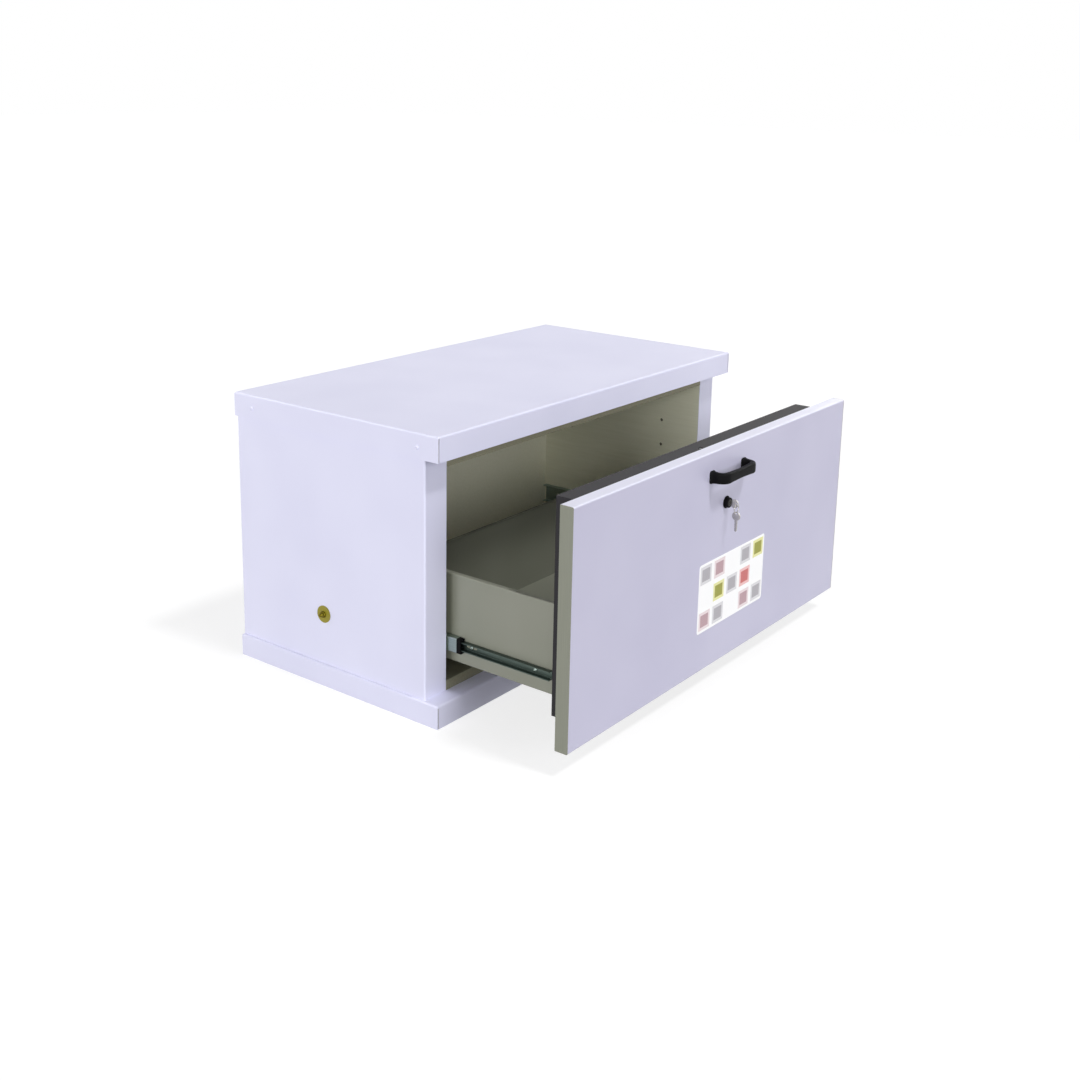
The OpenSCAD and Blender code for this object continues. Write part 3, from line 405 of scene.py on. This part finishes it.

# Drawer front: a folded skin over its board, powder coated like the walls, with a plain backing sheet.
# Its coat is drawn darker than the walls' coat as painted shade.

# Powder coat of the front: the same peel and more gloss, its colour greyer as painted shade. A painted
# highlight makes it paler over the last 4 mm below the upper fold.
front_coat_painted_shade = powder_coat("front_powder_coat_painted_shade", "#BDBBD2", "#C2C0D6", 0.0025, (0.32, 0.42))
tree = front_coat_painted_shade.node_tree
surface = tree.nodes["Principled BSDF"]
place = add(tree, "TexCoord", {}).outputs["Object"]
height = add(tree, "SeparateXYZ", {"Vector": place}).outputs["Z"]
fold_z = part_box("front_skin")[1].z
# Painted highlight: a paler band over the last 4 mm below the upper fold
near = add(tree, "MapRange", {"Value": height, "From Min": fold_z - 0.004, "From Max": fold_z - 0.001})
painted_highlight = add(tree, "MixRGB", {"Fac": near.outputs["Result"], "Color2": linear("#E0E0F1")})
tree.links.new(surface.inputs["Base Color"].links[0].from_socket, painted_highlight.inputs["Color1"])
tree.links.new(painted_highlight.outputs["Color"], surface.inputs["Base Color"])
dress(front_coat_painted_shade, "front_skin", "front_backing")

# Edge bands: two strips of grey plastic, extruded, cut to length and glued on the drawer
# front's upright edges, where they cover the board between the skin and the backing.

# Extruded edge band: grey-olive, satin, with draw lines 1 mm apart along its length
band = mottled("extruded_edge_band", "#7B7D71", "#86887B", (0.001, 0.001, 0.1), (0.45, 0.55), 0.00006,
               ior=1.5)
dress(band, "edge_bands")

# Fire plug behind the drawer front: a board 61.5 mm thick, cut to the opening and dipped
# in a black coat, with a rubber strip round it that closes on the walls.

# Black dipped board: near black, matt, with the board's 4 mm fibres under the coat
plug_coat = mottled("black_dipped_fire_board", "#19181B", "#262428", (0.004, 0.004, 0.004), (0.6, 0.8),
                    0.0003, specular_ior_level=0.3)
dress(plug_coat, "fire_plug")

# Extruded rubber: matt black with dusty patches about 15 mm long
rubber = mottled("extruded_epdm_rubber", "#161617", "#252526", (0.015, 0.015, 0.015), (0.65, 0.85),
                 ior=1.52)
dress(rubber, "smoke_gasket")

# Bridge handle: one piece of glass-filled polyamide, 143 mm over its legs and 150 mm over
# the feet that spread on the front. Its grip slims to 19 mm in the middle, and it is
# screwed on from behind.
low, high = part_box("handle")
face_y, grip_y, rise = high.y, low.y, (low.z + high.z) / 2
leg_x, thick, tall, slim, corner = 0.065, 0.013, 0.0245, 0.019, 0.017
foot_w, foot_h, foot_corner = 0.020, 0.027, 0.0055
leg_taper, shoulder_taper, shoulder = 0.93, 0.92, 0.3
foot_steps = ((0.0018, foot_w, foot_h), (0.0008, 0.0186, 0.0264), (0.0008, 0.0160, 0.0256),
              (0.0012, 0.0140, 0.0250), (0.002, thick, tall))
begin()
bpy.ops.mesh.primitive_plane_add(size=1, location=(-leg_x, face_y, rise), rotation=(math.radians(90), 0, 0))
handle = bpy.context.object
handle.scale = (foot_w, foot_h, 1)
bpy.ops.object.transform_apply(location=True, rotation=True, scale=True)
bpy.ops.object.mode_set(mode="EDIT")
bpy.ops.mesh.select_all(action="SELECT")
bpy.ops.mesh.bevel(offset=foot_corner, segments=6, affect="VERTICES")
wide_now, tall_now = foot_w, foot_h
for out, wide_next, tall_next in foot_steps:
    bpy.ops.mesh.extrude_region_move(TRANSFORM_OT_translate={"value": (0, -out, 0)})
    bpy.ops.transform.resize(value=(wide_next / wide_now, 1, tall_next / tall_now),
                             center_override=(-leg_x, face_y, rise))
    wide_now, tall_now = wide_next, tall_next
foot_out = sum(step[0] for step in foot_steps)
turn_y = grip_y + thick / 2 + corner
bpy.ops.mesh.extrude_region_move(TRANSFORM_OT_translate={"value": (0, turn_y - face_y + foot_out, 0)})
bpy.ops.transform.resize(value=(1, 1, leg_taper), center_override=(-leg_x, turn_y, rise))
bpy.ops.mesh.spin(steps=10, angle=math.radians(-90), center=(corner - leg_x, turn_y, rise), axis=(0, 0, 1))
grip_taper = slim / (leg_taper * shoulder_taper * tall)
for along, slimmer in ((shoulder, shoulder_taper), (1 - shoulder, grip_taper)):
    bpy.ops.mesh.extrude_region_move(TRANSFORM_OT_translate={"value": (along * (leg_x - corner), 0, 0)})
    bpy.ops.transform.resize(value=(1, 1, slimmer), center_override=(0, grip_y, rise))
pick(handle, "FACE", lambda spot: spot.x > -1e-5)
bpy.ops.mesh.delete(type="FACE")
bpy.ops.object.mode_set(mode="OBJECT")
half = handle.modifiers.new("other_half", "MIRROR")
half.merge_threshold = 1e-5
bpy.ops.object.modifier_apply(modifier="other_half")
bpy.ops.object.mode_set(mode="EDIT")
close_up(40)
settle(handle, "bridge_handle", "drawer", "black_plastic", plastic, "handle")

# Label place: a vinyl sticker 278 mm by 152 mm with rounded corners, rolled onto the front
# below the lock. It carries framed blocks of muted colour in three rows, and nothing to read.
label_x, label_z, label_w, label_h, label_t = 0.042, 0.2145, 0.278, 0.152, 0.00025
columns, rows, margin, frame_w, label_corner = 5, 3, 0.0055, 0.0065, 0.006
cell_w, cell_h = label_w / columns, label_h / rows
front_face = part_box("front_skin")[0].y


def block_place(spot):
    """A point's column and row on the label, and how far it lies from that block's middle."""
    across, up = (spot.x - label_x) / cell_w + columns / 2, (spot.z - label_z) / cell_h + rows / 2
    return int(across), int(up), abs(across % 1 - 0.5) * cell_w, abs(up % 1 - 0.5) * cell_h


begin()
bpy.ops.mesh.primitive_grid_add(x_subdivisions=columns, y_subdivisions=rows, size=1,
                                location=(label_x, front_face, label_z), rotation=(math.radians(90), 0, 0))
label = bpy.context.object
label.scale = (label_w, label_h, 1)
bpy.ops.object.transform_apply(location=True, rotation=True, scale=True)
bpy.ops.object.mode_set(mode="EDIT")
bpy.ops.mesh.select_all(action="SELECT")
bpy.ops.mesh.extrude_region_move(TRANSFORM_OT_translate={"value": (0, -label_t, 0)})
bpy.ops.mesh.inset(thickness=margin, use_individual=True)
bpy.ops.mesh.inset(thickness=frame_w, use_individual=True)
pick(label, "EDGE", lambda spot: (abs(spot.x - label_x) > 0.499 * label_w
                                  and abs(spot.z - label_z) > 0.499 * label_h))
bpy.ops.mesh.bevel(offset=label_corner, segments=5, affect="EDGES")
close_up(20)

# Printed vinyl: a bright white film with a little gloss, and inks that lie on it in a fine
# dot grain, drawn 1.2 mm wide so that it shows. Each block has a deep ink in a pale frame.
inks = {"white": ("#FBFBFC", "#FEFEFF"), "pale_grey": ("#D6D5D9", "#DEDDE1"),
        "grey": ("#A6A3A9", "#B2AFB5"), "pale_rose": ("#E4D5D8", "#EADDE0"),
        "rose": ("#B3929A", "#BE9FA6"), "pale_red": ("#E8B8B8", "#EEC4C3"),
        "red": ("#C26160", "#CB706E"), "pale_olive": ("#E1DF9C", "#E8E6A9"),
        "olive": ("#91912C", "#9C9C3A")}
vinyls = [mottled(name + "_vinyl_print", deep, pale, (0.0012, 0.0012, 0.0012), (0.35, 0.42), ior=1.46)
          for name, (deep, pale) in inks.items()]
settle(label, "bare_label", "drawer", "white_coat", vinyls[0])
for vinyl in vinyls[1:]:
    label.data.materials.append(vinyl)
prints = {(0, 2): "grey", (1, 2): "rose", (3, 2): "grey", (4, 2): "olive", (1, 1): "olive",
          (2, 1): "grey", (3, 1): "red", (0, 0): "rose", (1, 0): "grey", (3, 0): "rose", (4, 0): "grey"}
for face in label.data.polygons:
    column, row, aside, above = block_place(face.center)
    printed = face.center.y < front_face - 0.9 * label_t and (column, row) in prints
    if printed and aside < cell_w / 2 - margin and above < cell_h / 2 - margin:
        ink = prints[column, row] if max(aside, above) < 0.001 else "pale_" + prints[column, row]
        face.material_index = list(inks).index(ink)

# Lock: a black housing through the front, a turning cylinder and its brass pinion, which
# lifts a bar into the ceiling. A pressed key stands in the cylinder, and a split ring on its
# bow carries the spare.

# Satin nickel: pale warm metal with fine scratches about 0.5 mm apart
nickel = mottled("satin_nickel_plating", "#A8A5A0", "#CBC9C4", (0.0005, 0.0005, 0.0005), (0.18, 0.34),
                 metallic=1.0)

# Black nickel on the cylinder: smoky and smooth, with turning marks 0.4 mm apart
smoked = mottled("black_nickel_plating", "#2E2D2B", "#474542", (0.0004, 0.0004, 0.0004), (0.25, 0.4),
                 metallic=1.0)
dress(smoked, "lock_cylinder")


def softened(node, radius, segments=2):
    """A merged copy of a CAD piece whose sharp edges are broken by a small radius."""
    begin()
    piece = bpy.data.objects.new(node, parts[node].data.copy())
    bpy.context.scene.collection.objects.link(piece)
    bpy.context.view_layer.objects.active = piece
    piece.select_set(True)
    bpy.ops.mesh.customdata_custom_splitnormals_clear()
    bpy.ops.object.mode_set(mode="EDIT")
    bpy.ops.mesh.select_all(action="SELECT")
    bpy.ops.mesh.remove_doubles(threshold=1e-6)
    bpy.ops.mesh.dissolve_limited(angle_limit=math.radians(1))
    bpy.ops.mesh.select_mode(type="EDGE")
    bpy.ops.mesh.select_all(action="DESELECT")
    bpy.ops.mesh.edges_select_sharp(sharpness=math.radians(35))
    bpy.ops.mesh.bevel(offset=radius, segments=segments, affect="EDGES", clamp_overlap=True)
    close_up(40)
    return piece


for node, body in (("lock_key", "key"), ("spare_key", "spare_key")):
    settle(softened(node, 0.0003), "pressed_" + node, body, "nickel", nickel, node)

# The split ring is spring wire just under 0.9 mm thick, wound in two turns a hair apart
low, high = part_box("key_ring")
turns, thinner, ends_at = 2, 0.97, math.radians(70)
wire = (high.y - low.y) / (2 * turns)
begin()
bpy.ops.mesh.primitive_circle_add(vertices=12, radius=thinner * wire, fill_type="NGON",
                                  location=((high.x - low.x) / 2 - 2 * wire, 0, 0),
                                  rotation=(math.radians(90), 0, 0))
ring = bpy.context.object
bpy.ops.object.transform_apply(location=True, rotation=True)
wind_up(ring, 2 * wire, turns, 64)
bpy.ops.object.mode_set(mode="EDIT")
close_up(40)
ring.data.transform(Matrix.Translation(((low.x + high.x) / 2, high.y - wire, (low.z + high.z) / 2))
                    @ Matrix.Rotation(math.radians(90), 4, "X") @ Matrix.Rotation(ends_at, 4, "Z")
                    @ Matrix.Translation((0, 0, -2 * wire)))
settle(ring, "split_key_ring", "key_ring", "nickel", nickel, "key_ring")

# Machined brass: yellow metal with turning marks 0.4 mm apart
brass = mottled("machined_brass", "#A88E4E", "#C4AA68", (0.0004, 0.0004, 0.0004), (0.25, 0.4), metallic=1.0)
dress(brass, "lock_pinion")

# Studio: a plain pale floor that reads as white and keeps the cabinet's shadow, a white
# surround, a soft key lamp above the front, broad lamps from the left and the front that
# reach into the drawer's room, and weaker fills for the right side and the back.


def seen_rays(tree):
    """A value of 1 for what the camera sees straight, in gloss or through glass, and of 0 for light."""
    ray = add(tree, "LightPath", {})
    seen = add(tree, "Math", {0: ray.outputs["Is Camera Ray"], 1: ray.outputs["Is Glossy Ray"]},
               operation="MAXIMUM")
    seen = add(tree, "Math", {0: seen.outputs["Value"], 1: ray.outputs["Is Transmission Ray"]},
               operation="MAXIMUM")
    return seen.outputs["Value"]


begin()
bpy.ops.mesh.primitive_plane_add(size=60)
floor = bpy.context.object
floor.name = "studio_floor"
floor_paint = bpy.data.materials.new("pale_studio_floor")
floor_paint.use_nodes = True
tree = floor_paint.node_tree
tree.nodes.clear()
floor_glow = 0.75
share = add(tree, "Math", {0: seen_rays(tree), 1: floor_glow}, operation="MULTIPLY")
matt = add(tree, "BsdfDiffuse", {"Color": linear("#9A9A9A")})
glow = add(tree, "Emission", {"Color": linear("#FFFFFF"), "Strength": share.outputs["Value"]})
whole = add(tree, "AddShader", {0: matt.outputs["BSDF"], 1: glow.outputs["Emission"]})
add(tree, "OutputMaterial", {"Surface": whole.outputs["Shader"]})
floor.data.materials.append(floor_paint)

studio = bpy.data.worlds.new("white_studio")
bpy.context.scene.world = studio
studio.use_nodes = True
tree = studio.node_tree
tree.nodes.clear()
level = add(tree, "MapRange", {"Value": seen_rays(tree), "To Min": 0.12, "To Max": 1.0})
sky = add(tree, "Background", {"Color": linear("#FFFFFF"), "Strength": level.outputs["Result"]})
add(tree, "OutputWorld", {"Surface": sky.outputs["Background"]})

# Each lamp has the direction that it stands in, its strength and its spread in degrees
lamps = {"key_lamp": ((0.05, -0.47, 0.88), 1.4, 8), "left_lamp": ((-0.985, 0.02, 0.17), 1.93, 30),
         "front_lamp": ((-0.2, -0.945, 0.25), 1.0, 26), "low_lamp": ((-0.77, -0.6, 0.22), 0.56, 25),
         "right_lamp": ((0.45, -0.8, 0.4), 0.5, 40), "right_fill": ((0.97, 0.15, 0.2), 0.9, 30),
         "back_fill": ((-0.15, 0.97, 0.2), 0.9, 30)}
for name, (towards, strength, spread) in lamps.items():
    lamp = bpy.data.lights.new(name, "SUN")
    lamp.energy = strength
    lamp.angle = math.radians(spread)
    holder = bpy.data.objects.new(name, lamp)
    holder.rotation_mode = "QUATERNION"
    holder.rotation_quaternion = Vector(towards).to_track_quat("Z", "Y")
    bpy.context.scene.collection.objects.link(holder)

# Camera: 1.27 m above the floor, to the left of the cabinet's front, with its picture shifted
# for the framing. The picture's right, down and ahead are given as directions.
lens = bpy.data.cameras.new("camera")
lens.sensor_width = 36
lens.lens = 45.73
lens.shift_y = -0.1296
lens.clip_end = 100
camera = bpy.data.objects.new("camera", lens)
stand = (-2.4267, -1.9372, 1.2683)
right, down, ahead = ((0.6045345, -0.7963537, 0.0189423), (-0.1730393, -0.1544965, -0.9727221),
                      (0.7775574, 0.5847663, -0.2311990))
camera.matrix_world = Matrix([[right[i], -down[i], -ahead[i], stand[i]] for i in range(3)] + [[0, 0, 0, 1]])
bpy.context.scene.collection.objects.link(camera)
bpy.context.scene.camera = camera
bpy.context.scene.view_settings.view_transform = "Standard"
